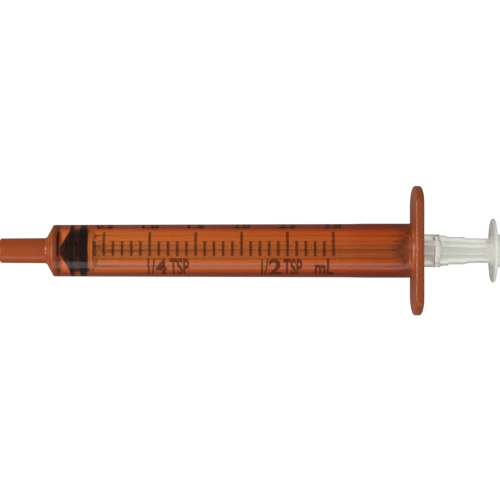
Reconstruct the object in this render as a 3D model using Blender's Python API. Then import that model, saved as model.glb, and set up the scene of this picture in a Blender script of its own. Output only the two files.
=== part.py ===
"""Oral syringe for 3 mL of liquid medicine: a barrel with nozzle and finger flange, a rubber stopper and a rod.

Metres, +Z up. The syringe lies along X with its nozzle at -X. The flange's lower flat is at z = 0, and the
box around the whole syringe is centred on x = 0 and y = 0. A station is a distance along X from the nozzle's
end. Each solid is drawn about its own X axis and then placed on the syringe's axis.
"""

from math import ceil, pi, radians, sin, tan

import bmesh
import bpy
from mathutils import Matrix, Vector

MM = 0.001

# Barrel: one moulding with its nozzle and its finger flange
BORE_DIAMETER = 8.55 * MM
BORE_LENGTH = 69.30 * MM  # from the zero line to the open end
BORE_FRONT_FILLET = 0.20 * MM
TUBE_WALL = 0.685 * MM  # just behind the shoulder
TUBE_DRAFT = 0.18 * MM  # how much thicker the wall is at the sleeve than at the shoulder
SLEEVE_LENGTH = 9.00 * MM  # thicker stretch in front of the flange
SLEEVE_RAMP = 3.50 * MM
SLEEVE_STEP = 0.06 * MM
SHOULDER_ANGLE = radians(61.5)
SHOULDER_SETBACK = 1.21 * MM  # along X, from the shoulder's outer corner to the zero line
SHOULDER_FILLET = 0.35 * MM
NOZZLE_LENGTH = 8.99 * MM
NOZZLE_ROOT_DIAMETER = 4.86 * MM
NOZZLE_TIP_DIAMETER = 4.74 * MM
NOZZLE_TIP_FILLET = 0.35 * MM
NOZZLE_ROOT_FILLET = 0.70 * MM
CHANNEL_DIAMETER = 2.00 * MM
CHANNEL_FILLET = 0.30 * MM
FLANGE_WIDTH = 24.90 * MM
FLANGE_DEPTH = 14.60 * MM  # between the two flats
FLANGE_THICKNESS = 1.60 * MM
FLANGE_RIM_FILLET = 0.50 * MM
FLANGE_ROOT_FILLET = 0.80 * MM
MOUTH_CHAMFER_LENGTH = 0.60 * MM
MOUTH_CHAMFER_RISE = 0.35 * MM
BEAD_SETBACK = 2.20 * MM  # from the open end to the middle of the retaining bead
BEAD_LENGTH = 0.90 * MM
BEAD_CREST = 0.20 * MM
BEAD_HEIGHT = 0.12 * MM

# Stopper: one rubber moulding
SEAL_CLEARANCE = 0.03 * MM
NOSE_ANGLE = radians(58)
NOSE_TIP_RADIUS = 0.85 * MM
FRONT_RIB_LENGTH = 0.80 * MM
GROOVE_LENGTH = 1.00 * MM
GROOVE_DEPTH = 0.20 * MM
REAR_RIB_LENGTH = 1.60 * MM
RIB_FILLET = 0.15 * MM
SOCKET_FLOOR = 1.90 * MM  # from the nose tip to the socket's floor
SOCKET_WALL = 1.795 * MM  # rubber between the socket and the groove
LIP_LENGTH = 1.20 * MM  # rubber lip behind the socket, which holds the rod's head

# Plunger rod: one moulding
SOCKET_CLEARANCE = 0.06 * MM
HEAD_TAPER_LENGTH = 0.70 * MM
HEAD_TAPER_DROP = 0.79 * MM
NECK_DROP = 0.50 * MM  # how far the head's back edge stands out over the neck
PUSHER_SETBACK = 0.355 * MM  # pusher disc's edge to the bore
PUSHER_THICKNESS = 1.00 * MM
ROD_SIDE_GAP = 0.955 * MM  # rib tips to the bore
RIB_THICKNESS = 1.10 * MM
CORE_RADIUS = 0.95 * MM
ROD_STEPS = (  # distance in front of the thumb rest, and how much lower the rib tips are from there on
    (10.10 * MM, 0.25 * MM),
    (8.60 * MM, 0.32 * MM),
    (5.20 * MM, 0.25 * MM),
)
ROD_STEP_RAMP = 0.30 * MM
TAIL_TAPER = 0.12 * MM
GUIDE_SETBACK = 11.10 * MM  # guide disc's front face, in front of the thumb rest
GUIDE_THICKNESS = 1.00 * MM
GUIDE_DROP = 0.37 * MM  # guide disc's edge below the rib tips
HUB_LENGTH = 1.10 * MM
HUB_RADIUS = 3.00 * MM
THUMB_DIAMETER = 12.30 * MM
THUMB_THICKNESS = 0.55 * MM
THUMB_RIM_FILLET = 0.22 * MM
BOSS_RADIUS = 3.20 * MM
BOSS_HEIGHT = 1.08 * MM
BOSS_FILLET = 0.30 * MM
ROD_TURN = radians(27)  # how far the rod happens to be turned in the barrel

# How the pieces stand to each other
SEAT_GAP = 0.08 * MM  # stopper to barrel shoulder, pushed right home
SEATED_STANDOFF = 11.46 * MM  # thumb rest to flange, pushed right home
DRAWN_BACK = 2.05 * MM  # how far the plunger stands from home

# How finely round shapes are cut
BARREL_SEGMENTS = 96
PLUNGER_SEGMENTS = 64
ARC_STEP = radians(30)

BORE_RADIUS = BORE_DIAMETER / 2
TUBE_RADIUS = BORE_RADIUS + TUBE_WALL
SLEEVE_RADIUS = TUBE_RADIUS + TUBE_DRAFT + SLEEVE_STEP
SHOULDER_END = NOZZLE_LENGTH + (TUBE_RADIUS - NOZZLE_ROOT_DIAMETER / 2) / tan(SHOULDER_ANGLE)
ZERO_STATION = SHOULDER_END + SHOULDER_SETBACK
FLANGE_REAR = ZERO_STATION + BORE_LENGTH
FLANGE_FRONT = FLANGE_REAR - FLANGE_THICKNESS
STOPPER_RADIUS = BORE_RADIUS - SEAL_CLEARANCE
NOSE_LENGTH = (STOPPER_RADIUS - NOSE_TIP_RADIUS) / tan(NOSE_ANGLE)
STOPPER_LENGTH = NOSE_LENGTH + FRONT_RIB_LENGTH + GROOVE_LENGTH + REAR_RIB_LENGTH
STOPPER_STATION = ZERO_STATION + SEAT_GAP + DRAWN_BACK - NOSE_LENGTH
ROD_STATION = STOPPER_STATION + STOPPER_LENGTH + SOCKET_CLEARANCE
THUMB_FRONT = FLANGE_REAR + SEATED_STANDOFF + DRAWN_BACK - ROD_STATION
OVERALL_LENGTH = ROD_STATION + THUMB_FRONT + THUMB_THICKNESS + BOSS_HEIGHT
HEAD_RADIUS = STOPPER_RADIUS - GROOVE_DEPTH - SOCKET_WALL - SOCKET_CLEARANCE
NECK_RADIUS = HEAD_RADIUS - NECK_DROP
RIB_TIP_RADIUS = BORE_RADIUS - ROD_SIDE_GAP
AXIS_HEIGHT = max(FLANGE_DEPTH, THUMB_DIAMETER) / 2


def clear_scene():
    for thing in list(bpy.data.objects):
        bpy.data.objects.remove(thing)


def plastic(name, colour, roughness, transmission=0.0):
    """A Principled material with its linear colour and finish."""
    material = bpy.data.materials.new(name)
    material.use_nodes = True
    shader = material.node_tree.nodes["Principled BSDF"]
    shader.inputs["Base Color"].default_value = (*colour, 1.0)
    shader.inputs["Roughness"].default_value = roughness
    shader.inputs["Metallic"].default_value = 0.0
    shader.inputs["Transmission Weight"].default_value = transmission
    material.diffuse_color = (*colour, 1.0)
    return material


def rounded(corners):
    """The outline through corners of (station, radius, fillet), with each fillet drawn as an arc."""
    outline = []
    neighbours = zip(corners[-1:] + corners[:-1], corners, corners[1:] + corners[:1])
    for before, here, after in neighbours:
        corner, fillet = Vector(here[:2]), here[2]
        if fillet == 0:
            outline.append(corner)
            continue
        back = (Vector(before[:2]) - corner).normalized()
        ahead = (Vector(after[:2]) - corner).normalized()
        half_angle = back.angle(ahead) / 2
        reach = fillet / tan(half_angle)
        centre = corner + (back + ahead).normalized() * fillet / sin(half_angle)
        arm = corner + back * reach - centre
        goal = corner + ahead * reach - centre
        turn = (pi - 2 * half_angle) * (1 if arm.cross(goal) > 0 else -1)
        steps = max(2, ceil(abs(turn) / ARC_STEP))
        for i in range(steps + 1):
            outline.append(centre + Matrix.Rotation(turn * i / steps, 2) @ arm)
    return outline


def finished(name, bm, material):
    """Turns a bmesh into a smooth-shaded object, with its crisp edges kept."""
    bmesh.ops.recalc_face_normals(bm, faces=bm.faces)
    mesh = bpy.data.meshes.new(name)
    bm.to_mesh(mesh)
    bm.free()
    mesh.shade_smooth()
    mesh.set_sharp_from_angle(angle=radians(35))
    mesh.materials.append(material)
    obj = bpy.data.objects.new(name, mesh)
    bpy.context.scene.collection.objects.link(obj)
    return obj


def turned(name, corners, segments, material, ring=False):
    """A solid of revolution about X, from an outline that starts and ends on the axis or, for a ring, on itself."""
    bm = bmesh.new()
    verts = [bm.verts.new((point.x, 0.0, point.y)) for point in rounded(corners)]
    pairs = list(zip(verts, verts[1:]))
    if ring:
        pairs.append((verts[-1], verts[0]))
    edges = [bm.edges.new(pair) for pair in pairs]
    bmesh.ops.spin(
        bm, geom=verts + edges, cent=(0, 0, 0), axis=(1, 0, 0), dvec=(0, 0, 0), angle=2 * pi, steps=segments
    )
    bmesh.ops.remove_doubles(bm, verts=bm.verts, dist=MM / 1000)
    return finished(name, bm, material)


def plate(name, outline, thickness, material):
    """A flat plate in the XZ plane, with an outline of (x, z) points, as thick along Y as asked."""
    bm = bmesh.new()
    face = bm.faces.new([bm.verts.new((x, -thickness / 2, z)) for x, z in outline])
    pushed = bmesh.ops.extrude_face_region(bm, geom=[face])["geom"]
    moved = [item for item in pushed if isinstance(item, bmesh.types.BMVert)]
    bmesh.ops.translate(bm, verts=moved, vec=(0, thickness, 0))
    return finished(name, bm, material)


def block(name, low, high, material):
    """A box between two corners."""
    bm = bmesh.new()
    low, high = Vector(low), Vector(high)
    place = Matrix.Translation((low + high) / 2) @ Matrix.Diagonal((*(high - low), 1.0))
    bmesh.ops.create_cube(bm, size=1.0, matrix=place)
    return finished(name, bm, material)


def place_on(child, parent, station, turn=0.0):
    """Places a solid on its parent's axis."""
    child.parent = parent
    child.location = (station, 0.0, 0.0)
    child.rotation_euler = (turn, 0.0, 0.0)


def combine(obj, tool, operation):
    """Joins a helper solid to a piece, or cuts the piece with it. The helper itself stays a guide."""
    tool.hide_render = True
    tool.display_type = "WIRE"
    step = obj.modifiers.new(tool.name, "BOOLEAN")
    step.operation = operation
    step.solver = "EXACT"
    step.object = tool


def barrel_corners():
    """The barrel's wall: out along the nozzle and the tube, round the flange and back down the bore."""
    bead = FLANGE_REAR - BEAD_SETBACK
    channel_radius = CHANNEL_DIAMETER / 2
    sleeve_start = FLANGE_FRONT - SLEEVE_LENGTH
    cone_length = (BORE_RADIUS - channel_radius) / tan(NOSE_ANGLE)
    return [
        (0, NOZZLE_TIP_DIAMETER / 2, NOZZLE_TIP_FILLET),
        (NOZZLE_LENGTH, NOZZLE_ROOT_DIAMETER / 2, NOZZLE_ROOT_FILLET),
        (SHOULDER_END, TUBE_RADIUS, SHOULDER_FILLET),
        (sleeve_start - SLEEVE_RAMP, TUBE_RADIUS + TUBE_DRAFT, 0),
        (sleeve_start, SLEEVE_RADIUS, 0),
        (FLANGE_FRONT, SLEEVE_RADIUS, FLANGE_ROOT_FILLET),
        (FLANGE_FRONT, FLANGE_WIDTH / 2, FLANGE_RIM_FILLET),
        (FLANGE_REAR, FLANGE_WIDTH / 2, FLANGE_RIM_FILLET),
        (FLANGE_REAR, BORE_RADIUS + MOUTH_CHAMFER_RISE, 0),
        (FLANGE_REAR - MOUTH_CHAMFER_LENGTH, BORE_RADIUS, 0),
        (bead + BEAD_LENGTH / 2, BORE_RADIUS, 0),
        (bead + BEAD_CREST / 2, BORE_RADIUS - BEAD_HEIGHT, 0),
        (bead - BEAD_CREST / 2, BORE_RADIUS - BEAD_HEIGHT, 0),
        (bead - BEAD_LENGTH / 2, BORE_RADIUS, 0),
        (ZERO_STATION, BORE_RADIUS, BORE_FRONT_FILLET),
        (ZERO_STATION - cone_length, channel_radius, CHANNEL_FILLET),
        (0, channel_radius, 0),
    ]


def build_barrel(material):
    """The barrel, with the flange's round disc cut to two flats."""
    barrel = turned("barrel", barrel_corners(), BARREL_SEGMENTS, material, ring=True)
    barrel.location = (-OVERALL_LENGTH / 2, 0.0, AXIS_HEIGHT)
    for side, name in ((1, "flat_cutter_top"), (-1, "flat_cutter_base")):
        heights = sorted((side * FLANGE_DEPTH / 2, side * FLANGE_WIDTH))
        low = (FLANGE_FRONT - FLANGE_THICKNESS, -FLANGE_WIDTH, heights[0])
        high = (FLANGE_REAR + FLANGE_THICKNESS, FLANGE_WIDTH, heights[1])
        cutter = block(name, low, high, material)
        place_on(cutter, barrel, 0)
        combine(barrel, cutter, "DIFFERENCE")
    return barrel


def head_corners(grow):
    """The snap-in head and its neck, from the axis outwards. The socket is the same shape, grown all round."""
    floor = SOCKET_FLOOR + SOCKET_CLEARANCE - grow
    back = STOPPER_LENGTH - LIP_LENGTH - SOCKET_CLEARANCE + grow
    return [
        (floor, 0, 0),
        (floor, HEAD_RADIUS - HEAD_TAPER_DROP + grow, 0),
        (floor + HEAD_TAPER_LENGTH, HEAD_RADIUS + grow, 0),
        (back, HEAD_RADIUS + grow, 0),
        (back, NECK_RADIUS + grow, 0),
    ]


def build_stopper(material):
    """The stopper: a conical nose, two sealing ribs with a groove between them, and the socket for the rod."""
    front_rib_end = NOSE_LENGTH + FRONT_RIB_LENGTH
    rear_rib_start = front_rib_end + GROOVE_LENGTH
    groove_radius = STOPPER_RADIUS - GROOVE_DEPTH
    outside = [
        (0, 0, 0),
        (0, NOSE_TIP_RADIUS, 0),
        (NOSE_LENGTH, STOPPER_RADIUS, RIB_FILLET),
        (front_rib_end, STOPPER_RADIUS, RIB_FILLET),
        (front_rib_end, groove_radius, RIB_FILLET),
        (rear_rib_start, groove_radius, RIB_FILLET),
        (rear_rib_start, STOPPER_RADIUS, RIB_FILLET),
        (STOPPER_LENGTH, STOPPER_RADIUS, RIB_FILLET),
        (STOPPER_LENGTH, NECK_RADIUS + SOCKET_CLEARANCE, 0),
    ]
    corners = outside + head_corners(SOCKET_CLEARANCE)[::-1]
    return turned("stopper", corners, PLUNGER_SEGMENTS, material)


def rib_outline():
    """The outline of one pair of opposite ribs, which step down towards the thumb rest."""
    tip = RIB_TIP_RADIUS
    upper = [(PUSHER_THICKNESS / 2, tip)]
    for distance, drop in ROD_STEPS:
        station = THUMB_FRONT - distance
        upper.append((station, tip))
        tip -= drop
        upper.append((station + ROD_STEP_RAMP, tip))
    upper.append((THUMB_FRONT + THUMB_THICKNESS / 2, tip - TAIL_TAPER))
    return upper + [(x, -z) for x, z in upper[::-1]]


def build_plunger_rod(material):
    """The rod: head, neck, pusher disc, core, guide disc, hub and thumb rest turned in one, joined to four ribs."""
    shift = STOPPER_LENGTH + SOCKET_CLEARANCE
    guide = THUMB_FRONT - GUIDE_SETBACK
    guide_radius = RIB_TIP_RADIUS - GUIDE_DROP
    thumb_rear = THUMB_FRONT + THUMB_THICKNESS
    boss_rear = thumb_rear + BOSS_HEIGHT
    corners = [(x - shift, r, fillet) for x, r, fillet in head_corners(0.0)]
    corners += [
        (0, NECK_RADIUS, 0),
        (0, BORE_RADIUS - PUSHER_SETBACK, 0),
        (PUSHER_THICKNESS, BORE_RADIUS - PUSHER_SETBACK, 0),
        (PUSHER_THICKNESS, CORE_RADIUS, 0),
        (guide, CORE_RADIUS, 0),
        (guide, guide_radius, 0),
        (guide + GUIDE_THICKNESS, guide_radius, 0),
        (guide + GUIDE_THICKNESS, CORE_RADIUS, 0),
        (THUMB_FRONT - HUB_LENGTH, CORE_RADIUS, 0),
        (THUMB_FRONT, HUB_RADIUS, 0),
        (THUMB_FRONT, THUMB_DIAMETER / 2, THUMB_RIM_FILLET),
        (thumb_rear, THUMB_DIAMETER / 2, THUMB_RIM_FILLET),
        (thumb_rear, BOSS_RADIUS, 0),
        (boss_rear, BOSS_RADIUS, BOSS_FILLET),
        (boss_rear, 0, 0),
    ]
    rod = turned("plunger_rod", corners, PLUNGER_SEGMENTS, material)
    for name, turn in (("rib_pair_upright", 0.0), ("rib_pair_level", pi / 2)):
        ribs = plate(name, rib_outline(), RIB_THICKNESS, material)
        place_on(ribs, rod, 0, turn)
        combine(rod, ribs, "UNION")
    return rod


def main():
    clear_scene()
    amber = plastic("amber polypropylene, moulded", (0.45, 0.14, 0.05), 0.15, transmission=0.6)
    natural = plastic("natural polypropylene, moulded", (0.62, 0.63, 0.58), 0.25)
    rubber = plastic("black stopper rubber", (0.02, 0.02, 0.018), 0.45)
    barrel = build_barrel(amber)
    stopper = build_stopper(rubber)
    place_on(stopper, barrel, STOPPER_STATION)
    rod = build_plunger_rod(natural)
    place_on(rod, stopper, STOPPER_LENGTH + SOCKET_CLEARANCE, ROD_TURN)


main()
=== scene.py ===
"""The finished looks of a 3 mL oral syringe: amber barrel, printed scale, black stopper and clear rod.

Everything is in metres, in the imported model's own frame: the syringe lies along X with its nozzle at -X,
+Z is up and the flange's lower flat is at z = 0. An angle round the axis is measured from +Z towards +Y.
"""

import logging
from collections.abc import Iterable
from dataclasses import dataclass, field
from enum import Enum
from math import atan2, ceil, cos, hypot, pi, radians, sin, sqrt, tan

import bmesh
import bpy
from mathutils import Matrix, Vector


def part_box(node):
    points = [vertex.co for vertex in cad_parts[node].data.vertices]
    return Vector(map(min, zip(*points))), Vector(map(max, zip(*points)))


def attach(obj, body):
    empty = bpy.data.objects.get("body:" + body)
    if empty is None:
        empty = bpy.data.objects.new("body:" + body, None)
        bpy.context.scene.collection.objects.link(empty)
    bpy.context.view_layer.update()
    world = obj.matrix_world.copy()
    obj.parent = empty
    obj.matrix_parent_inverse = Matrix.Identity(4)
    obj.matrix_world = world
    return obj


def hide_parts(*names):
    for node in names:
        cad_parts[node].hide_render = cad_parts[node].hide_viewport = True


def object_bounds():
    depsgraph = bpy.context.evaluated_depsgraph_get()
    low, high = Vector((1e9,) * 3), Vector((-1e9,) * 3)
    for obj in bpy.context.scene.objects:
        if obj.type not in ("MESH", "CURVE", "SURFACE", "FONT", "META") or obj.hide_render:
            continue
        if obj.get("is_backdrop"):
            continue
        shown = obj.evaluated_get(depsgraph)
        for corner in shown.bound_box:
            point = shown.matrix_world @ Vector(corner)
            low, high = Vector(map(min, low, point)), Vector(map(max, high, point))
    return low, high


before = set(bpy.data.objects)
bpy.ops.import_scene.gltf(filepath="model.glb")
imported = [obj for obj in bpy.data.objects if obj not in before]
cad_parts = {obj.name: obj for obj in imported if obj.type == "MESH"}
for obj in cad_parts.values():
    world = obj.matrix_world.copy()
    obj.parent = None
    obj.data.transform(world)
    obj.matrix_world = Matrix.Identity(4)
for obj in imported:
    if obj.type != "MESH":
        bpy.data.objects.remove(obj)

CAD_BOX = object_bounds()
LOG = logging.getLogger("syringe")

MM = 0.001
MICRON = 0.001 * MM
ARC_STEP = radians(12)  # how finely a fillet is drawn
SHARP_ANGLE = radians(40)
ARC_PARTS = 4  # of a rib's small fillets
FLANK_PARTS = 9
VALLEY_PARTS = 3
HUB_PARTS = 6

Corner = tuple[float, float, float]  # station, radius and fillet
Ring = list[tuple[float, float]]  # angle and radius of each point round one cross-section


class Body(Enum):
    """The rigid bodies that the pieces ride on."""

    BARREL = "barrel"
    STOPPER = "stopper"
    ROD = "rod"


class Node(Enum):
    """The plain solids that the finished pieces stand for."""

    BARREL = "barrel"
    STOPPER = "stopper"
    ROD = "plunger_rod"


class Slot(Enum):
    """The finishes that the record names."""

    AMBER = "amber_polypropylene"
    RUBBER = "black_rubber"
    NATURAL = "natural_polypropylene"


# ---------------------------------------------------------------- shapes


def rounded(corners: list[Corner], closed: bool = False) -> list[Vector]:
    """Draws an outline through its corners, with every fillet as an arc.

    Args:
        corners: Station, radius and fillet of each corner.
        closed: Whether the outline comes back to its first corner.

    Returns:
        The outline's points as (station, radius).
    """
    before = corners[-1:] + corners[:-1]
    after = corners[1:] + corners[:1]
    outline = []
    for index, (last, here, following) in enumerate(zip(before, corners, after)):
        corner, fillet = Vector(here[:2]), here[2]
        at_end = not closed and index in (0, len(corners) - 1)
        if fillet == 0 or at_end:
            outline.append(corner)
            continue
        back = (Vector(last[:2]) - corner).normalized()
        ahead = (Vector(following[:2]) - corner).normalized()
        half_angle = back.angle(ahead) / 2
        reach = fillet / tan(half_angle)
        centre = corner + (back + ahead).normalized() * fillet / sin(half_angle)
        arm = corner + back * reach - centre
        goal = corner + ahead * reach - centre
        turn = (pi - 2 * half_angle) * (1 if arm.cross(goal) > 0 else -1)
        steps = max(2, ceil(abs(turn) / ARC_STEP))
        outline += [centre + Matrix.Rotation(turn * i / steps, 2) @ arm for i in range(steps + 1)]
    return outline


def finished(name: str, bm: bmesh.types.BMesh, material: bpy.types.Material) -> bpy.types.Object:
    """Turns a bmesh into a smooth-shaded object, with its crisp edges kept.

    Args:
        name: The piece's name.
        bm: Its shape, which is used up.
        material: Its finish.

    Returns:
        The new object.
    """
    bmesh.ops.remove_doubles(bm, verts=bm.verts, dist=MICRON / 10)
    bmesh.ops.recalc_face_normals(bm, faces=bm.faces)
    mesh = bpy.data.meshes.new(name)
    bm.to_mesh(mesh)
    bm.free()
    mesh.shade_smooth()
    mesh.set_sharp_from_angle(angle=SHARP_ANGLE)
    mesh.materials.append(material)
    piece = bpy.data.objects.new(name, mesh)
    bpy.context.scene.collection.objects.link(piece)
    return piece


def skinned(rings: list[list[Vector]], looped: bool = False) -> bmesh.types.BMesh:
    """Joins rings with the same number of points into one skin.

    Args:
        rings: The points of each ring, in order round the axis.
        looped: Whether the last ring is joined to the first.

    Returns:
        The skin. A ring drawn in to a single point closes its end.
    """
    bm = bmesh.new()
    grid = [[bm.verts.new(point) for point in ring] for ring in rings]
    pairs = list(zip(grid, grid[1:]))
    if looped:
        pairs.append((grid[-1], grid[0]))
    for low, high in pairs:
        for k in range(len(low)):
            bm.faces.new((low[k - 1], low[k], high[k], high[k - 1]))
    return bm


@dataclass(frozen=True)
class Axis:
    """The syringe's axis, from which every piece is laid out."""

    start: float  # x of station 0
    height: float  # z of the axis

    def point(self, station: float, radius: float, angle: float) -> Vector:
        """Gives the place of a station, a radius and an angle."""
        return Vector((self.start + station, radius * sin(angle), self.height + radius * cos(angle)))

    def ring(self, station: float, ring: Ring, turn: float = 0.0) -> list[Vector]:
        """Gives the places of a cross-section's points at a station, turned about the axis."""
        return [self.point(station, radius, angle + turn) for angle, radius in ring]


def hand_over(
    piece: bpy.types.Object, body: Body, slot: Slot | None = None, node: Node | None = None
) -> None:
    """Puts a piece on its body and hides the plain solid that it stands for.

    Args:
        piece: The finished piece, in place.
        body: The body it moves with.
        slot: Not used.
        node: The plain solid it replaces, if it does.
    """
    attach(piece, body.value)
    if node:
        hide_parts(node.value)
    LOG.info("%s: %d faces, on %s", piece.name, len(piece.data.polygons), body.value)


# ---------------------------------------------------------------- finishes


def linear(code: str) -> tuple[float, float, float, float]:
    """Turns an sRGB hex colour into a linear one.

    Args:
        code: Such as "#A0552D".

    Returns:
        Red, green, blue and an alpha of 1.
    """
    shares = [int(code[i : i + 2], 16) / 255 for i in (1, 3, 5)]
    return (*[s / 12.92 if s <= 0.04045 else ((s + 0.055) / 1.055) ** 2.4 for s in shares], 1.0)


def add_node(
    tree: bpy.types.NodeTree,
    kind: str,
    settings: dict[str | int, object] | None = None,
    links: dict[str | int, bpy.types.NodeSocket] | None = None,
) -> bpy.types.Node:
    """Adds a node with its settings and links.

    Args:
        tree: Where the node goes.
        kind: The node's type.
        settings: Values by the name or place of an input, or by the name of a node property.
        links: Outputs of other nodes by the name or place of the input they feed.

    Returns:
        The new node.
    """
    node = tree.nodes.new(kind)
    for key, value in (settings or {}).items():
        if isinstance(key, str) and key not in node.inputs:
            setattr(node, key, value)
        else:
            node.inputs[key].default_value = value
    for key, source in (links or {}).items():
        tree.links.new(source, node.inputs[key])
    return node


def new_tree(name: str) -> tuple[bpy.types.Material, bpy.types.NodeTree, bpy.types.Node]:
    """Starts a material with nothing but its output.

    Args:
        name: The material's name.

    Returns:
        The material, its node tree and its output node.
    """
    material = bpy.data.materials.new(name)
    material.use_nodes = True
    tree = material.node_tree
    tree.nodes.clear()
    return material, tree, tree.nodes.new("ShaderNodeOutputMaterial")


def coordinate(tree: bpy.types.NodeTree, part: str, kind: str = "Object") -> bpy.types.NodeSocket:
    """Gives the X, Y or Z of the point that is shaded.

    Args:
        tree: Where the nodes go.
        part: "X", "Y" or "Z".
        kind: The coordinates it is counted in.

    Returns:
        The coordinate.
    """
    place = add_node(tree, "ShaderNodeTexCoord")
    split = add_node(tree, "ShaderNodeSeparateXYZ", links={"Vector": place.outputs[kind]})
    return split.outputs[part]


@dataclass(frozen=True)
class Ripple:
    """The shallow ripple that cooling plastic takes on, drawn out along the way it flowed, along X."""

    length: float
    width: float
    height: float

    def normal(self, tree: bpy.types.NodeTree) -> bpy.types.NodeSocket:
        """Adds the ripple to a material and gives its normal."""
        place = add_node(tree, "ShaderNodeTexCoord")
        across = 1 / self.width
        drawn_out = add_node(
            tree, "ShaderNodeMapping", {"Scale": (1 / self.length, across, across)},
            {"Vector": place.outputs["Object"]},
        )
        wave = add_node(
            tree, "ShaderNodeTexNoise", {"Scale": 1.0, "Detail": 2.0, "Roughness": 0.4},
            {"Vector": drawn_out.outputs["Vector"]},
        )
        bump = add_node(
            tree, "ShaderNodeBump", {"Strength": 1.0, "Distance": self.height},
            {"Height": wave.outputs["Fac"]},
        )
        return bump.outputs["Normal"]


def moulded(
    tree: bpy.types.NodeTree, colour: str, roughness: float, ior: float, clearness: float,
    normal: bpy.types.NodeSocket,
) -> bpy.types.Node:
    """Adds a moulded plastic's surface, clear or cloudy."""
    return add_node(
        tree, "ShaderNodeBsdfPrincipled",
        {"Base Color": linear(colour), "Roughness": roughness, "IOR": ior,
         "Transmission Weight": clearness},
        {"Normal": normal},
    )


@dataclass(frozen=True)
class AmberPolypropylene:
    """Amber polypropylene, injection moulded in a polished mould.

    A thin wall is almost clear, and the dye eats blue first, then green, so white light comes through
    orange-brown and the wall's edges, where light runs a long way in the plastic, go dark. A thick lump
    also looks cloudy, from the light that the plastic's crystals scatter back.
    """

    dye: str = "#E9B53B"  # what the dye lets through
    dye_density: float = 2700.0  # per metre
    body: str = "#C25716"  # the scattered light's colour
    skin: str = "#FFFFFF"
    ior: float = 1.49
    roughness: float = 0.12
    cloud_roughness: float = 0.36
    wall_cloud: float = 0.0  # share of scattered light in the tube's wall
    nozzle_cloud: float = 0.45
    flange_cloud: float = 0.44
    ripple: Ripple = Ripple(length=9.0 * MM, width=1.3 * MM, height=2.0 * MICRON)

    def material(
        self, nozzle_end: float, tube_start: float, tube_end: float, flange_start: float
    ) -> bpy.types.Material:
        """Makes the material, cloudier where the moulding is thick.

        Args:
            nozzle_end: x where the nozzle's solid plastic ends.
            tube_start: x where the thin wall starts.
            tube_end: x where the thin wall ends.
            flange_start: x where the flange's solid plastic starts.

        Returns:
            The material.
        """
        material, tree, output = new_tree("Amber polypropylene, injection moulded")
        normal = self.ripple.normal(tree)
        clear = moulded(tree, self.skin, self.roughness, self.ior, 1.0, normal)
        cloudy = moulded(tree, self.body, self.cloud_roughness, self.ior, 0.0, normal)
        along = coordinate(tree, "X")
        front = add_node(
            tree, "ShaderNodeMapRange",
            {"From Min": nozzle_end, "From Max": tube_start,
             "To Min": self.nozzle_cloud, "To Max": self.wall_cloud},
            {"Value": along},
        )
        rear = add_node(
            tree, "ShaderNodeMapRange",
            {"From Min": tube_end, "From Max": flange_start, "To Min": 0.0,
             "To Max": self.flange_cloud - self.wall_cloud},
            {"Value": along},
        )
        cloud = add_node(
            tree, "ShaderNodeMath", {"operation": "ADD"},
            {0: front.outputs["Result"], 1: rear.outputs["Result"]},
        )
        plastic = add_node(
            tree, "ShaderNodeMixShader",
            links={0: cloud.outputs["Value"], 1: clear.outputs["BSDF"], 2: cloudy.outputs["BSDF"]},
        )
        dye = add_node(
            tree, "ShaderNodeVolumeAbsorption", {"Color": linear(self.dye), "Density": self.dye_density}
        )
        tree.links.new(plastic.outputs["Shader"], output.inputs["Surface"])
        tree.links.new(dye.outputs["Volume"], output.inputs["Volume"])
        return material


@dataclass(frozen=True)
class NaturalPolypropylene:
    """Natural polypropylene, injection moulded.

    Without dye it is clear and faintly milky. The mould is polished along the stem and left matt round
    the end that the fingers push, so the stem looks glassy and the end looks frosted and light grey.
    """

    stem: str = "#F6F7F3"
    grip: str = "#F1F2EB"
    ior: float = 1.49
    stem_roughness: float = 0.14
    grip_roughness: float = 0.32
    grip_clearness: float = 0.60
    ripple: Ripple = Ripple(length=8.0 * MM, width=1.5 * MM, height=1.0 * MICRON)

    def material(self, polished_end: float, matt_start: float) -> bpy.types.Material:
        """Makes the material, polished along the stem and matt behind it.

        Args:
            polished_end: x where the polish starts to fade.
            matt_start: x where the matt face starts.

        Returns:
            The material.
        """
        material, tree, output = new_tree("Natural polypropylene, injection moulded")
        normal = self.ripple.normal(tree)
        stem = moulded(tree, self.stem, self.stem_roughness, self.ior, 1.0, normal)
        grip = moulded(tree, self.grip, self.grip_roughness, self.ior, self.grip_clearness, normal)
        along = coordinate(tree, "X")
        matt = add_node(
            tree, "ShaderNodeMapRange", {"From Min": polished_end, "From Max": matt_start},
            {"Value": along},
        )
        plastic = add_node(
            tree, "ShaderNodeMixShader",
            links={0: matt.outputs["Result"], 1: stem.outputs["BSDF"], 2: grip.outputs["BSDF"]},
        )
        tree.links.new(plastic.outputs["Shader"], output.inputs["Surface"])
        return material


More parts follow.
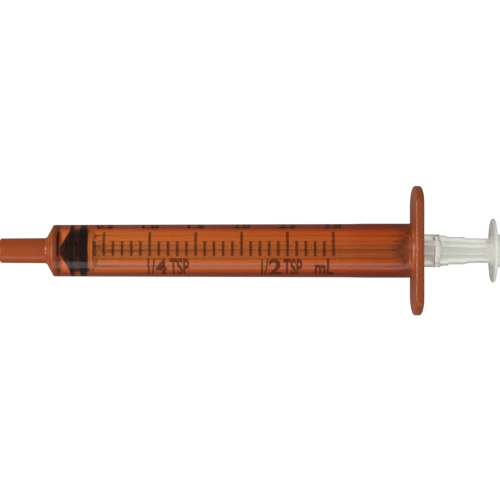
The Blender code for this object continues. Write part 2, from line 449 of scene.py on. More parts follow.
@dataclass(frozen=True)
class StopperRubber:
    """Black synthetic rubber, compression moulded and oiled with silicone.

    It is almost black, with a satin face that shows a soft, broad gloss.
    """

    face: str = "#141311"
    roughness: float = 0.38
    gloss: float = 0.2
    grain: float = 0.12 * MM
    grain_height: float = 2.0 * MICRON

    def material(self) -> bpy.types.Material:
        """Makes the material."""
        material, tree, output = new_tree("Stopper rubber, compression moulded")
        place = add_node(tree, "ShaderNodeTexCoord")
        grain = add_node(
            tree, "ShaderNodeTexNoise", {"Scale": 1 / self.grain, "Detail": 3.0},
            {"Vector": place.outputs["Object"]},
        )
        bump = add_node(
            tree, "ShaderNodeBump", {"Strength": 1.0, "Distance": self.grain_height},
            {"Height": grain.outputs["Fac"]},
        )
        rubber = add_node(
            tree, "ShaderNodeBsdfPrincipled",
            {"Base Color": linear(self.face), "Roughness": self.roughness,
             "Specular IOR Level": self.gloss},
            {"Normal": bump.outputs["Normal"]},
        )
        tree.links.new(rubber.outputs["BSDF"], output.inputs["Surface"])
        return material


@dataclass(frozen=True)
class ScaleInk:
    """Dark brown-black pad-printing ink, cured: flat, microns thick, with some light coming through."""

    face: str = "#1A0D07"
    cover: float = 0.45  # of one face: light meets two
    gloss: float = 0.1
    roughness: float = 0.5
    roughness_spread: float = 0.12  # either way, from spot to spot
    mottle: float = 0.25 * MM

    def material(self) -> bpy.types.Material:
        """Makes the material."""
        material, tree, output = new_tree("Scale ink, pad printed")
        place = add_node(tree, "ShaderNodeTexCoord")
        mottle = add_node(
            tree, "ShaderNodeTexNoise", {"Scale": 1 / self.mottle, "Detail": 2.0},
            {"Vector": place.outputs["Object"]},
        )
        spread = self.roughness_spread
        roughness = add_node(
            tree, "ShaderNodeMapRange",
            {"To Min": self.roughness - spread, "To Max": self.roughness + spread},
            {"Value": mottle.outputs["Fac"]},
        )
        ink = add_node(
            tree, "ShaderNodeBsdfPrincipled",
            {"Base Color": linear(self.face), "Alpha": self.cover, "Specular IOR Level": self.gloss},
            {"Roughness": roughness.outputs["Result"]},
        )
        tree.links.new(ink.outputs["BSDF"], output.inputs["Surface"])
        return material


# ---------------------------------------------------------------- barrel


@dataclass
class Barrel:
    """The amber barrel: one moulding of nozzle, shoulder, tube and finger flange."""

    axis: Axis
    flange_rear: float  # station of the open end
    finish: AmberPolypropylene = field(default_factory=AmberPolypropylene)
    segments: int = 288
    bore_radius: float = 4.275 * MM
    bore_length: float = 69.30 * MM
    bore_fillet: float = 0.20 * MM
    cone_angle: float = radians(58)
    wall: float = 0.685 * MM
    draft: float = 0.18 * MM
    sleeve_length: float = 9.00 * MM
    sleeve_ramp: float = 3.50 * MM
    sleeve_step: float = 0.06 * MM
    sleeve_fillet: float = 20.0 * MM
    shoulder_angle: float = radians(61.5)
    shoulder_fillet: float = 0.35 * MM
    nozzle_length: float = 8.99 * MM
    nozzle_root_radius: float = 2.43 * MM
    nozzle_tip_radius: float = 2.37 * MM
    nozzle_tip_fillet: float = 0.50 * MM
    nozzle_root_fillet: float = 0.70 * MM
    channel_radius: float = 1.00 * MM
    channel_fillet: float = 0.30 * MM
    outlet_fillet: float = 0.15 * MM
    flange_radius: float = 12.45 * MM
    flat_height: float = 7.30 * MM  # from the axis to a flat
    flange_thickness: float = 1.60 * MM
    rim_fillet: float = 0.50 * MM
    flange_root_fillet: float = 0.80 * MM
    flat_corner: float = 24.0  # the higher, the crisper the flange's four corners
    mouth_length: float = 0.60 * MM
    mouth_rise: float = 0.35 * MM
    mouth_fillet: float = 0.15 * MM
    bead_setback: float = 2.20 * MM
    bead_length: float = 0.90 * MM
    bead_crest: float = 0.20 * MM
    bead_height: float = 0.12 * MM
    bead_fillet: float = 0.20 * MM
    cloud_setback: float = 0.20 * MM  # from the shoulder's corner to where its cloudiness starts to fade
    clear_setback: float = 0.30 * MM  # from the zero line to where the wall is clear
    flange_cloud_length: float = 3.00 * MM  # over which the wall turns cloudy ahead of the flange

    @property
    def tube_radius(self) -> float:
        """The tube's radius just behind the shoulder."""
        return self.bore_radius + self.wall

    @property
    def tube_start(self) -> float:
        """Station where the shoulder meets the tube."""
        rise = self.tube_radius - self.nozzle_root_radius
        return self.nozzle_length + rise / tan(self.shoulder_angle)

    @property
    def zero_station(self) -> float:
        """Station of the scale's zero line, where the bore starts."""
        return self.flange_rear - self.bore_length

    @property
    def flange_front(self) -> float:
        """Station of the flange's front face."""
        return self.flange_rear - self.flange_thickness

    @property
    def sleeve_start(self) -> float:
        """Station where the ramp up to the sleeve starts."""
        return self.flange_front - self.sleeve_length - self.sleeve_ramp

    def outside(self, station: float) -> float:
        """Gives the radius of the tube's outside at a station ahead of the sleeve."""
        share = (station - self.tube_start) / (self.sleeve_start - self.tube_start)
        return self.tube_radius + share * self.draft

    def flange_reach(self, angle: float) -> float:
        """Gives the flange's reach at an angle: a round disc cut to two flats, with soft corners."""
        to_flat = self.flat_height / max(abs(cos(angle)), 1e-6)
        power = -self.flat_corner
        return (self.flange_radius**power + to_flat**power) ** (1 / power)

    def corners(self) -> list[Corner]:
        """Lists the wall's corners: along nozzle and tube, round the flange and back down the bore."""
        bead = self.flange_rear - self.bead_setback
        sleeve_radius = self.tube_radius + self.draft + self.sleeve_step
        cone_length = (self.bore_radius - self.channel_radius) / tan(self.cone_angle)
        crest = self.bore_radius - self.bead_height
        return [
            (0, self.nozzle_tip_radius, self.nozzle_tip_fillet),
            (self.nozzle_length, self.nozzle_root_radius, self.nozzle_root_fillet),
            (self.tube_start, self.tube_radius, self.shoulder_fillet),
            (self.sleeve_start, self.tube_radius + self.draft, self.sleeve_fillet),
            (self.sleeve_start + self.sleeve_ramp, sleeve_radius, self.sleeve_fillet),
            (self.flange_front, sleeve_radius, self.flange_root_fillet),
            (self.flange_front, self.flange_radius, self.rim_fillet),
            (self.flange_rear, self.flange_radius, self.rim_fillet),
            (self.flange_rear, self.bore_radius + self.mouth_rise, self.mouth_fillet),
            (self.flange_rear - self.mouth_length, self.bore_radius, self.mouth_fillet),
            (bead + self.bead_length / 2, self.bore_radius, self.bead_fillet),
            (bead + self.bead_crest / 2, crest, self.bead_fillet),
            (bead - self.bead_crest / 2, crest, self.bead_fillet),
            (bead - self.bead_length / 2, self.bore_radius, self.bead_fillet),
            (self.zero_station, self.bore_radius, self.bore_fillet),
            (self.zero_station - cone_length, self.channel_radius, self.channel_fillet),
            (0, self.channel_radius, self.outlet_fillet),
        ]

    def build(self) -> None:
        """Makes the moulding, dresses it and puts it on its body."""
        on_rim = self.flange_radius - 2 * self.rim_fillet
        angles = [2 * pi * k / self.segments for k in range(self.segments)]
        rings = []
        for station, radius in rounded(self.corners(), closed=True):
            shrinks = radius > on_rim
            ring = [
                (angle, radius - (self.flange_radius - self.flange_reach(angle)) * shrinks)
                for angle in angles
            ]
            rings.append(self.axis.ring(station, ring))
        start = self.axis.start
        material = self.finish.material(
            nozzle_end=start + self.tube_start + self.cloud_setback,
            tube_start=start + self.zero_station + self.clear_setback,
            tube_end=start + self.flange_front - self.flange_cloud_length,
            flange_start=start + self.flange_front,
        )
        piece = finished("barrel_moulding", skinned(rings, looped=True), material)
        hand_over(piece, Body.BARREL, Slot.AMBER, Node.BARREL)


# ---------------------------------------------------------------- printed scale


@dataclass(frozen=True)
class Word:
    """A run of print that reads along the tube from its nozzle end."""

    text: str
    left: float  # from its line to where it starts, along the tube
    width: float
    height: float


@dataclass
class PrintedScale:
    """The scale printed on the tube: a line for each 0.1 mL, numerals above and teaspoon marks below."""

    barrel: Barrel
    finish: ScaleInk = field(default_factory=ScaleInk)
    tenths: int = 30
    tenth_volume: float = 0.1e-6  # cubic metres
    line_width: float = 0.52 * MM
    base_angle: float = radians(-11.8)  # where every line starts
    short_angle: float = radians(21.2)
    long_angle: float = radians(44.6)
    ink_lift: float = 3 * MICRON
    ink_height: float = 9 * MICRON
    slice_height: float = 0.15 * MM  # how finely print is cut before it is wrapped
    boldness: float = 0.03  # how much each stroke swells, as a share of the letters' height
    numeral_width: float = 3.2 * MM
    numeral_height: float = 2.2 * MM
    numeral_angle: float = radians(57)  # of the numerals' feet
    label_height: float = 4.0 * MM
    label_angle: float = radians(-62)  # of the labels' feet

    def station(self, tenths: float) -> float:
        """Gives the station of a number of tenths of a millilitre."""
        bore_area = pi * self.barrel.bore_radius**2
        return self.barrel.zero_station + tenths * self.tenth_volume / bore_area

    def wrapped(self, bm: bmesh.types.BMesh, station: float, angle: float) -> None:
        """Lays flat print round the tube, where x runs along the syringe and y round it.

        Args:
            bm: The flat print, with its thickness along z, changed in place.
            station: Where its x = 0 goes.
            angle: Where its y = 0 goes.
        """
        low = min(vert.co.y for vert in bm.verts)
        high = max(vert.co.y for vert in bm.verts)
        for i in range(1, ceil((high - low) / self.slice_height)):
            bmesh.ops.bisect_plane(
                bm, geom=bm.verts[:] + bm.edges[:] + bm.faces[:],
                plane_co=(0, low + i * self.slice_height, 0), plane_no=(0, 1, 0),
            )
        for vert in bm.verts:
            at = station + vert.co.x
            radius = self.barrel.outside(at)
            turn = angle + vert.co.y / radius
            vert.co = self.barrel.axis.point(at, radius + self.ink_lift + vert.co.z, turn)

    def line(self, tenths: int) -> bmesh.types.BMesh:
        """Makes the line of a number of tenths, long at every half millilitre."""
        top = self.long_angle if tenths % 5 == 0 else self.short_angle
        radius = self.barrel.outside(self.station(tenths))
        height = (top - self.base_angle) * radius
        bm = bmesh.new()
        size = Matrix.Diagonal((self.line_width, height, self.ink_height, 1.0))
        middle = Matrix.Translation((0, height / 2, self.ink_height / 2))
        bmesh.ops.create_cube(bm, size=1.0, matrix=middle @ size)
        self.wrapped(bm, self.station(tenths), self.base_angle)
        return bm

    def word(self, word: Word, tenths: float, angle: float) -> bmesh.types.BMesh:
        """Makes a run of print from the plain built-in lettering, fitted to its width and height.

        Args:
            word: The run.
            tenths: The scale's value that it belongs to.
            angle: Where its feet stand.

        Returns:
            Its shape, in place on the tube.
        """
        lettering = bpy.data.curves.new("lettering", "FONT")
        lettering.body = word.text
        lettering.size = word.height
        lettering.extrude = self.ink_height / 2
        lettering.offset = self.boldness * word.height
        holder = bpy.data.objects.new("lettering", lettering)
        bpy.context.scene.collection.objects.link(holder)
        mesh = bpy.data.meshes.new_from_object(holder)
        bm = bmesh.new()
        bm.from_mesh(mesh)
        bpy.data.objects.remove(holder)
        bpy.data.curves.remove(lettering)
        bpy.data.meshes.remove(mesh)
        low = Vector([min(vert.co[i] for vert in bm.verts) for i in range(3)])
        high = Vector([max(vert.co[i] for vert in bm.verts) for i in range(3)])
        span = high - low
        for vert in bm.verts:
            along, up, thick = vert.co - low
            vert.co = (word.left + along * word.width / span.x, up * word.height / span.y, thick)
        self.wrapped(bm, self.station(tenths), angle)
        return bm

    def join(
        self, name: str, parts: Iterable[bmesh.types.BMesh], material: bpy.types.Material
    ) -> None:
        """Puts runs of print together as one piece on the barrel.

        Args:
            name: The piece's name.
            parts: The runs, which are used up.
            material: Their ink.
        """
        whole = bmesh.new()
        for part in parts:
            mesh = bpy.data.meshes.new("part")
            part.to_mesh(mesh)
            part.free()
            whole.from_mesh(mesh)
            bpy.data.meshes.remove(mesh)
        hand_over(finished(name, whole, material), Body.BARREL)

    def numeral(self, tenths: int) -> bmesh.types.BMesh:
        """Makes the numeral over a long line, in millilitres."""
        width = self.numeral_width
        word = Word(f"{tenths / 10:.1f}", -width / 2, width, self.numeral_height)
        return self.word(word, tenths, self.numeral_angle)

    def labels(self) -> Iterable[bmesh.types.BMesh]:
        """Makes the teaspoon marks and the unit under the lines."""
        tall = self.label_height
        labels = {
            12.5: [
                Word("1/", -4.8 * MM, 1.5 * MM, tall),
                Word("4", -3.3 * MM, 2.2 * MM, tall),
                Word("TSP", -0.6 * MM, 3.7 * MM, tall),
            ],
            25: [
                Word("1/", -5.0 * MM, 1.4 * MM, tall),
                Word("2", -3.6 * MM, 2.5 * MM, tall),
                Word("TSP", -0.8 * MM, 3.6 * MM, tall),
            ],
            30: [Word("mL", -3.5 * MM, 3.6 * MM, tall)],
        }
        for tenths, words in labels.items():
            for word in words:
                yield self.word(word, tenths, self.label_angle)

    def build(self) -> None:
        """Prints the lines, the numerals and the labels."""
        material = self.finish.material()
        half_millilitres = range(5, self.tenths + 1, 5)
        self.join("scale_lines", (self.line(i) for i in range(self.tenths + 1)), material)
        self.join("scale_numerals", (self.numeral(i) for i in half_millilitres), material)
        self.join("scale_labels", self.labels(), material)


# ---------------------------------------------------------------- stopper


@dataclass
class Stopper:
    """The rubber stopper: a conical nose, two sealing ribs with a groove between them, and a socket."""

    axis: Axis
    station: float  # of the nose's tip
    length: float
    finish: StopperRubber = field(default_factory=StopperRubber)
    segments: int = 192
    radius: float = 4.285 * MM  # squeezed against the bore
    nose_angle: float = radians(58)
    nose_tip_radius: float = 0.85 * MM
    nose_tip_fillet: float = 0.25 * MM
    front_rib_length: float = 0.80 * MM
    groove_length: float = 1.00 * MM
    groove_depth: float = 0.15 * MM
    rib_fillet: float = 0.15 * MM
    rear_fillet: float = 0.30 * MM
    socket_floor: float = 1.90 * MM
    socket_radius: float = 2.25 * MM
    socket_taper_length: float = 0.70 * MM
    socket_taper_drop: float = 0.79 * MM
    socket_fillet: float = 0.10 * MM
    mouth_radius: float = 1.75 * MM
    mouth_fillet: float = 0.15 * MM
    lip_length: float = 1.20 * MM

    def corners(self) -> list[Corner]:
        """Lists the corners: from the nose's tip over the ribs and into the socket."""
        nose = (self.radius - self.nose_tip_radius) / tan(self.nose_angle)
        groove_start = nose + self.front_rib_length
        groove_end = groove_start + self.groove_length
        groove_radius = self.radius - self.groove_depth
        round_, inner = self.rib_fillet, self.socket_fillet
        taper_end = self.socket_floor + self.socket_taper_length
        back = self.length - self.lip_length
        return [
            (0, 0, 0),
            (0, self.nose_tip_radius, self.nose_tip_fillet),
            (nose, self.radius, round_),
            (groove_start, self.radius, round_),
            (groove_start, groove_radius, round_),
            (groove_end, groove_radius, round_),
            (groove_end, self.radius, round_),
            (self.length, self.radius, self.rear_fillet),
            (self.length, self.mouth_radius, self.mouth_fillet),
            (back, self.mouth_radius, inner),
            (back, self.socket_radius, inner),
            (taper_end, self.socket_radius, inner),
            (self.socket_floor, self.socket_radius - self.socket_taper_drop, inner),
            (self.socket_floor, 0, 0),
        ]

    def build(self) -> None:
        """Makes the moulding, dresses it and puts it on its body."""
        angles = [2 * pi * k / self.segments for k in range(self.segments)]
        rings = [
            self.axis.ring(self.station + point.x, [(angle, point.y) for angle in angles])
            for point in rounded(self.corners())
        ]
        piece = finished("stopper_moulding", skinned(rings), self.finish.material())
        hand_over(piece, Body.STOPPER, Slot.RUBBER, Node.STOPPER)


# ---------------------------------------------------------------- plunger rod


@dataclass
class PlungerRod:
    """The rod: snap-in head, pusher disc, four stepped ribs, guide disc, hub and thumb rest in one.

    Its stations are counted from the pusher disc's front face.
    """

    axis: Axis
    station: float  # of the pusher disc's front face
    thumb_front: float  # of the thumb rest's front face, from there
    finish: NaturalPolypropylene = field(default_factory=NaturalPolypropylene)
    turn: float = radians(27)
    socket_clearance: float = 0.06 * MM  # from the stopper's rear to the pusher disc
    head_front: float = -3.606 * MM
    head_length: float = 2.286 * MM
    head_radius: float = 2.19 * MM
    head_taper_length: float = 0.70 * MM
    head_taper_drop: float = 0.79 * MM
    head_fillet: float = 0.10 * MM
    head_taper_fillet: float = 0.15 * MM
    neck_radius: float = 1.69 * MM
    neck_fillet: float = 0.15 * MM
    pusher_radius: float = 3.92 * MM
    pusher_thickness: float = 1.00 * MM
    pusher_fillet: float = 0.20 * MM
    pusher_margin: float = 0.05 * MM  # flat face left round the ribs' fillet
    rib_reach: float = 3.32 * MM
    rib_half: float = 0.55 * MM
    rib_tip_fillet: float = 0.15 * MM
    rib_root_fillet: float = 0.20 * MM
    core_radius: float = 0.95 * MM
    steps: tuple[tuple[float, float], ...] = (  # distance ahead of the thumb rest, drop
        (10.10 * MM, 0.25 * MM),
        (8.60 * MM, 0.32 * MM),
        (5.20 * MM, 0.25 * MM),
    )
    step_ramp: float = 0.30 * MM
    tail_taper: float = 0.12 * MM
    guide_setback: float = 11.10 * MM
    guide_thickness: float = 1.00 * MM
    guide_radius: float = 2.95 * MM
    hub_length: float = 1.10 * MM
    hub_radius: float = 3.00 * MM
    hub_flare: float = 0.15 * MM
    thumb_radius: float = 6.15 * MM
    thumb_thickness: float = 0.55 * MM
    rim_fillet: float = 0.22 * MM
    boss_radius: float = 3.20 * MM
    boss_height: float = 1.08 * MM
    boss_root_fillet: float = 0.20 * MM
    boss_fillet: float = 0.30 * MM
    dimple_radius: float = 0.55 * MM
    dimple_floor_radius: float = 0.35 * MM
    dimple_depth: float = 0.15 * MM
    dimple_fillet: float = 0.10 * MM
    edge_fillet: float = 0.15 * MM
    root_fillet: float = 0.20 * MM
    polish_fade_start: float = 4.5 * MM  # ahead of the guide disc
    polish_fade_end: float = 2.6 * MM

    def rib_half_section(self, reach: float, grow: float) -> list[Vector]:
        """Draws half of a rib's cross-section, from the middle of its tip to the middle of the valley.

        Args:
            reach: How far the tip is from the axis.
            grow: How much fatter than its true size the whole section is.

        Returns:
            Points as (along the rib, across it).
        """
        tip, half, core = reach + grow, self.rib_half + grow, self.core_radius + grow
        tip_fillet, root_fillet = self.rib_tip_fillet, self.rib_root_fillet
        points = [Vector((tip, (half - tip_fillet) * i / ARC_PARTS)) for i in range(ARC_PARTS)]
        for i in range(ARC_PARTS + 1):
            a = pi / 2 * i / ARC_PARTS
            points.append(Vector((tip - tip_fillet * (1 - cos(a)), half - tip_fillet * (1 - sin(a)))))
        middle = Vector((sqrt((core + root_fillet) ** 2 - (half + root_fillet) ** 2), half + root_fillet))
        first, last = atan2(half, tip - tip_fillet), atan2(half, middle.x)
        for i in range(1, FLANK_PARTS):
            points.append(Vector((half / tan(first + (last - first) * i / FLANK_PARTS), half)))
        inward = atan2(-middle.y, -middle.x) % (2 * pi)
        for i in range(ARC_PARTS + 1):
            a = 3 * pi / 2 + (inward - 3 * pi / 2) * i / ARC_PARTS
            points.append(middle + Vector((cos(a), sin(a))) * root_fillet)
        valley = atan2(middle.y, middle.x)
        for i in range(1, VALLEY_PARTS + 1):
            a = valley + (pi / 4 - valley) * i / VALLEY_PARTS
            points.append(Vector((cos(a), sin(a))) * core)
        return points

    def ribbed(self, reach: float, grow: float = 0.0) -> Ring:
        """Gives the whole cross-section of four ribs and the core between them.

        Args:
            reach: How far the ribs' tips are from the axis.
            grow: How much fatter than its true size the whole section is.

        Returns:
            Angle and radius of each point.
        """
        half = [(atan2(p.y, p.x), hypot(p.x, p.y)) for p in self.rib_half_section(reach, grow)]
        rib = [(-angle, radius) for angle, radius in half[:0:-1]] + half[:-1]
        return [(angle + quarter * pi / 2, radius) for quarter in range(4) for angle, radius in rib]

    def reach_at(self, station: float) -> float:
        """Gives the ribs' reach at a station: it steps down towards the thumb rest."""
        reach = self.rib_reach
        for distance, drop in self.steps:
            share = (station - (self.thumb_front - distance)) / self.step_ramp
            reach -= drop * min(max(share, 0.0), 1.0)
        tail = self.thumb_front - self.steps[-1][0] + self.step_ramp
        share = (station - tail) / (self.thumb_front - tail)
        return reach - self.tail_taper * min(max(share, 0.0), 1.0)

    def disc_rings(self, outline: Iterable[Vector], reach: float) -> list[tuple[float, Ring]]:
        """Gives the rings of a turned stretch, with its points at the same angles as the ribs'."""
        angles = [angle for angle, _ in self.ribbed(reach)]
        return [(point.x, [(angle, point.y) for angle in angles]) for point in outline]

    def root_rings(self, station: float, direction: int) -> list[tuple[float, Ring]]:
        """Gives the small fillet where ribs and core stand on a disc's face.

        Args:
            station: Of the face.
            direction: 1 where the ribs lead off to the thumb rest, -1 where they come up to the face.

        Returns:
            Rings in order of station.
        """
        rings = []
        for i in range(ARC_PARTS):
            a = pi / 2 * i / ARC_PARTS
            away, grow = self.root_fillet * (1 - cos(a)), self.root_fillet * (1 - sin(a))
            at = station + direction * away
            rings.append((at, self.ribbed(self.reach_at(at), grow)))
        return rings[::direction]

    def front_outline(self) -> list[Vector]:
        """Draws the head, the neck and the pusher disc."""
        head_back = self.head_front + self.head_length
        return rounded([
            (self.head_front, 0, 0),
            (self.head_front, self.head_radius - self.head_taper_drop, self.head_fillet),
            (self.head_front + self.head_taper_length, self.head_radius, self.head_taper_fillet),
            (head_back, self.head_radius, self.head_fillet),
            (head_back, self.neck_radius, self.head_fillet),
            (0, self.neck_radius, self.neck_fillet),
            (0, self.pusher_radius, self.pusher_fillet),
            (self.pusher_thickness, self.pusher_radius, self.pusher_fillet),
            (self.pusher_thickness, self.rib_reach + self.root_fillet + self.pusher_margin, 0),
        ])

    def rear_outline(self) -> list[Vector]:
        """Draws the thumb rest with its raised pad."""
        rear = self.thumb_front + self.thumb_thickness
        end = rear + self.boss_height
        floor = end - self.dimple_depth
        return rounded([
            (self.thumb_front - self.root_fillet, self.hub_radius, 0),
            (self.thumb_front, self.hub_radius + self.hub_flare, self.hub_flare),
            (self.thumb_front, self.thumb_radius, self.rim_fillet),
            (rear, self.thumb_radius, self.rim_fillet),
            (rear, self.boss_radius, self.boss_root_fillet),
            (end, self.boss_radius, self.boss_fillet),
            (end, self.dimple_radius, self.dimple_fillet),
            (floor, self.dimple_floor_radius, self.dimple_fillet),
            (floor, 0, 0),
        ])

    def rings(self) -> list[tuple[float, Ring]]:
        """Lists the rod's cross-sections in order, from its head to its thumb rest."""
        guide = self.thumb_front - self.guide_setback
        guide_rear = guide + self.guide_thickness
        hub = self.thumb_front - self.hub_length
        rings = self.disc_rings(self.front_outline(), self.rib_reach)
        rings += self.root_rings(self.pusher_thickness, 1)
        stations = [self.pusher_thickness + self.root_fillet, guide - self.root_fillet]
        rings += [(at, self.ribbed(self.reach_at(at))) for at in stations]
        rings += self.root_rings(guide, -1)
        edge = self.edge_fillet
        disc = rounded([
            (guide, self.core_radius, 0),
            (guide, self.guide_radius, edge),
            (guide_rear, self.guide_radius, edge),
            (guide_rear, self.core_radius, 0),
        ])
        for point in disc[1:-1]:
            ribs = self.ribbed(self.reach_at(point.x))
            rings.append((point.x, [(angle, max(radius, point.y)) for angle, radius in ribs]))
        rings += self.root_rings(guide_rear, 1)
        stations = [guide_rear + self.root_fillet]
        for distance, _ in self.steps:
            station = self.thumb_front - distance
            stations += [at for at in (station, station + self.step_ramp) if at > stations[-1]]
        rings += [(at, self.ribbed(self.reach_at(at))) for at in stations]
        for i in range(HUB_PARTS + 1):
            at = hub + (self.hub_length - self.root_fillet) * i / HUB_PARTS
            cone = self.core_radius + (self.hub_radius - self.core_radius) * i / HUB_PARTS
            ribs = self.ribbed(self.reach_at(at))
            rings.append((at, [(angle, max(radius, cone)) for angle, radius in ribs]))
        return rings + self.disc_rings(self.rear_outline()[1:], self.reach_at(self.thumb_front))

    def build(self) -> None:
        """Makes the moulding, dresses it and puts it on its body."""
        rings = [self.axis.ring(self.station + at, ring, self.turn) for at, ring in self.rings()]
        guide = self.axis.start + self.station + self.thumb_front - self.guide_setback
        material = self.finish.material(
            polished_end=guide - self.polish_fade_start, matt_start=guide - self.polish_fade_end
        )
        piece = finished("rod_moulding", skinned(rings), material)
        hand_over(piece, Body.ROD, Slot.NATURAL, Node.ROD)


# ---------------------------------------------------------------- studio


def in_gloss(tree: bpy.types.NodeTree, path: bpy.types.Node) -> bpy.types.NodeSocket:
    """Tells light that is mirrored by a glossy surface from all other light.

    Args:
        tree: Where the node goes.
        path: The tree's light path node.

    Returns:
        1 for a mirrored ray, otherwise 0.
    """
    both = add_node(
        tree, "ShaderNodeMath", {"operation": "MULTIPLY"},
        {0: path.outputs["Is Glossy Ray"], 1: path.outputs["Is Reflection Ray"]},
    )
    return both.outputs["Value"]


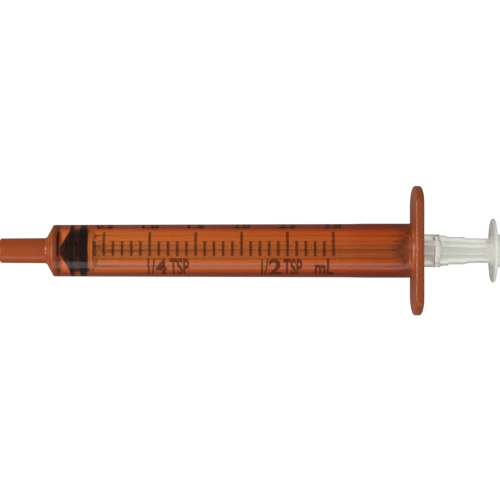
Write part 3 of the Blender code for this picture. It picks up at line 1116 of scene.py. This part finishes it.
@dataclass
class Studio:
    """Light table, soft light and the camera straight above."""

    rest_x: float  # where the flange's lower flat touches the table
    shoulder_x: float
    shoulder_height: float
    axis: Axis
    length: float
    table_half: float = 0.9
    table_colour: str = "#60605E"
    table_roughness: float = 0.9
    table_gloss: float = 0.1
    table_grey: float = 0.15  # painted shade: every reflected ray sees the table as this dark grey, without its glow
    table_glow: float = 1.0
    glow_under: float = 1.26  # painted light: light falling on the syringe comes from a table glow that is brighter in a strip under it; the camera sees the table evenly bright
    glow_beside: float = 0.45
    strip_half: float = 4.5 * MM
    strip_fade: float = 4.0 * MM
    overhead: float = 1.3
    horizon: float = 0.3
    surround_gloss: float = 0.15
    eye_distance: float = 0.365
    eye_shift: float = 0.13 * MM
    sensor: float = 36.0
    gap: float = 0.01 * MM

    def table(self) -> None:
        """Lays the light table under the flange and the shoulder, on which the syringe rests."""
        slope = self.shoulder_height / (self.rest_x - self.shoulder_x)
        bm = bmesh.new()
        reach = self.table_half
        corners = [
            bm.verts.new((x, y, (self.rest_x - x) * slope - self.gap))
            for x, y in ((-reach, -reach), (reach, -reach), (reach, reach), (-reach, reach))
        ]
        bm.faces.new(corners)
        material, tree, output = new_tree("Light table top, opal acrylic")
        top = add_node(
            tree, "ShaderNodeBsdfPrincipled",
            {"Base Color": linear(self.table_colour), "Roughness": self.table_roughness,
             "Specular IOR Level": self.table_gloss},
        )
        mirrored = add_node(tree, "ShaderNodeBsdfDiffuse", {"Color": (*[self.table_grey] * 3, 1.0)})
        aside = add_node(tree, "ShaderNodeMath", {"operation": "ABSOLUTE"}, {0: coordinate(tree, "Y")})
        strip = add_node(
            tree, "ShaderNodeMapRange",
            {"From Min": self.strip_half, "From Max": self.strip_half + self.strip_fade,
             "To Min": self.glow_under, "To Max": self.glow_beside},
            {"Value": aside.outputs["Value"]},
        )
        path = tree.nodes.new("ShaderNodeLightPath")
        # Painted light: only the camera sees the table's even glow. Every other ray sees the strip,
        # brighter under the syringe and dimmer beside it, which darkens the tube's edges.
        strength = add_node(
            tree, "ShaderNodeMix", {"data_type": "FLOAT", 3: self.table_glow},
            {0: path.outputs["Is Camera Ray"], 2: strip.outputs["Result"]},
        )
        glow = add_node(tree, "ShaderNodeEmission", links={"Strength": strength.outputs[0]})
        lit = add_node(
            tree, "ShaderNodeAddShader", links={0: top.outputs["BSDF"], 1: glow.outputs["Emission"]}
        )
        # Painted shade: reflected rays see the table as plain dark grey instead of its glow, as a black
        # flag would leave it.
        kept_dark = add_node(
            tree, "ShaderNodeMixShader",
            links={0: path.outputs["Is Reflection Ray"], 1: lit.outputs["Shader"],
                   2: mirrored.outputs["BSDF"]},
        )
        tree.links.new(kept_dark.outputs["Shader"], output.inputs["Surface"])
        finished("table_top", bm, material)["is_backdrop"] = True

    def sky(self) -> None:
        """Surrounds the scene with soft white light, held back in reflections as black flags would do."""
        world = bpy.data.worlds.new("Soft white surround")
        world.use_nodes = True
        bpy.context.scene.world = world
        tree = world.node_tree
        tree.nodes.clear()
        output = tree.nodes.new("ShaderNodeOutputWorld")
        path = tree.nodes.new("ShaderNodeLightPath")
        height = add_node(
            tree, "ShaderNodeMapRange", {"To Min": self.horizon, "To Max": self.overhead},
            {"Value": coordinate(tree, "Z", "Generated")},
        )
        lit = add_node(
            tree, "ShaderNodeMix", {"data_type": "FLOAT", 3: self.surround_gloss},
            {0: in_gloss(tree, path), 2: height.outputs["Result"]},
        )
        seen = add_node(
            tree, "ShaderNodeMix", {"data_type": "FLOAT", 3: 1.0},
            {0: path.outputs["Is Camera Ray"], 2: lit.outputs[0]},
        )
        surround = add_node(
            tree, "ShaderNodeBackground", {"Color": (1.0, 1.0, 1.0, 1.0)}, {"Strength": seen.outputs[0]}
        )
        tree.links.new(surround.outputs["Background"], output.inputs["Surface"])

    def softbox(
        self, name: str, place: tuple[float, float, float], size: tuple[float, float], power: float
    ) -> None:
        """Hangs a large soft light that faces the syringe.

        Args:
            name: The light's name.
            place: Where it hangs.
            size: Its width and height.
            power: In watts.
        """
        lamp = bpy.data.lights.new(name, "AREA")
        lamp.shape = "RECTANGLE"
        lamp.size, lamp.size_y = size
        lamp.energy = power
        holder = bpy.data.objects.new(name, lamp)
        holder.location = place
        holder.rotation_euler = Vector(place).to_track_quat("Z", "Y").to_euler()
        bpy.context.scene.collection.objects.link(holder)

    def eye(self) -> None:
        """Puts the camera straight above the syringe, which fills its view from end to end."""
        camera = bpy.data.cameras.new("Overhead camera")
        camera.sensor_width = self.sensor
        camera.lens = self.sensor * self.eye_distance / self.length
        camera.clip_start, camera.clip_end = 0.01, 10.0
        holder = bpy.data.objects.new("Overhead camera", camera)
        holder.location = (0.0, self.eye_shift, self.axis.height + self.eye_distance)
        bpy.context.scene.collection.objects.link(holder)
        bpy.context.scene.camera = holder

    def build(self) -> None:
        """Sets up the table, the lights, the camera and how the picture is developed."""
        self.table()
        self.sky()
        self.softbox("Key softbox", (-0.15, -0.75, 0.30), (1.2, 0.5), 2.2)
        self.softbox("Left softbox", (-0.8, 0.0, 0.25), (0.6, 0.5), 5.2)
        self.eye()
        scene = bpy.context.scene
        scene.view_settings.view_transform = "Standard"
        scene.cycles.max_bounces = 40  # light crosses many walls in the clear parts
        scene.cycles.transmission_bounces = 40
        scene.cycles.glossy_bounces = 12
        scene.cycles.diffuse_bounces = 6


def main() -> None:
    """Builds the syringe and its studio in order, and reports each piece."""
    logging.basicConfig(level=logging.INFO, format="%(name)s: %(message)s")
    barrel_low, barrel_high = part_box(Node.BARREL.value)
    stopper_low, stopper_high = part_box(Node.STOPPER.value)
    rod_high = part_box(Node.ROD.value)[1]
    axis = Axis(start=barrel_low.x, height=(barrel_low.z + barrel_high.z) / 2)
    barrel = Barrel(axis, flange_rear=barrel_high.x - axis.start)
    barrel.build()
    PrintedScale(barrel).build()
    Stopper(axis, station=stopper_low.x - axis.start, length=stopper_high.x - stopper_low.x).build()
    rod_station = stopper_high.x + PlungerRod.socket_clearance - axis.start
    rest_height = PlungerRod.thumb_thickness + PlungerRod.boss_height
    thumb_front = rod_high.x - axis.start - rod_station - rest_height
    PlungerRod(axis, station=rod_station, thumb_front=thumb_front).build()
    Studio(
        rest_x=axis.start + barrel.flange_front,
        shoulder_x=axis.start + barrel.tube_start,
        shoulder_height=axis.height - barrel.tube_radius,
        axis=axis,
        length=rod_high.x - barrel_low.x,
    ).build()


if __name__ == "__main__":
    main()
    boxes = {"cad": CAD_BOX, "visual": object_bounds()}
    {name: [list(corner) for corner in box] for name, box in boxes.items()}
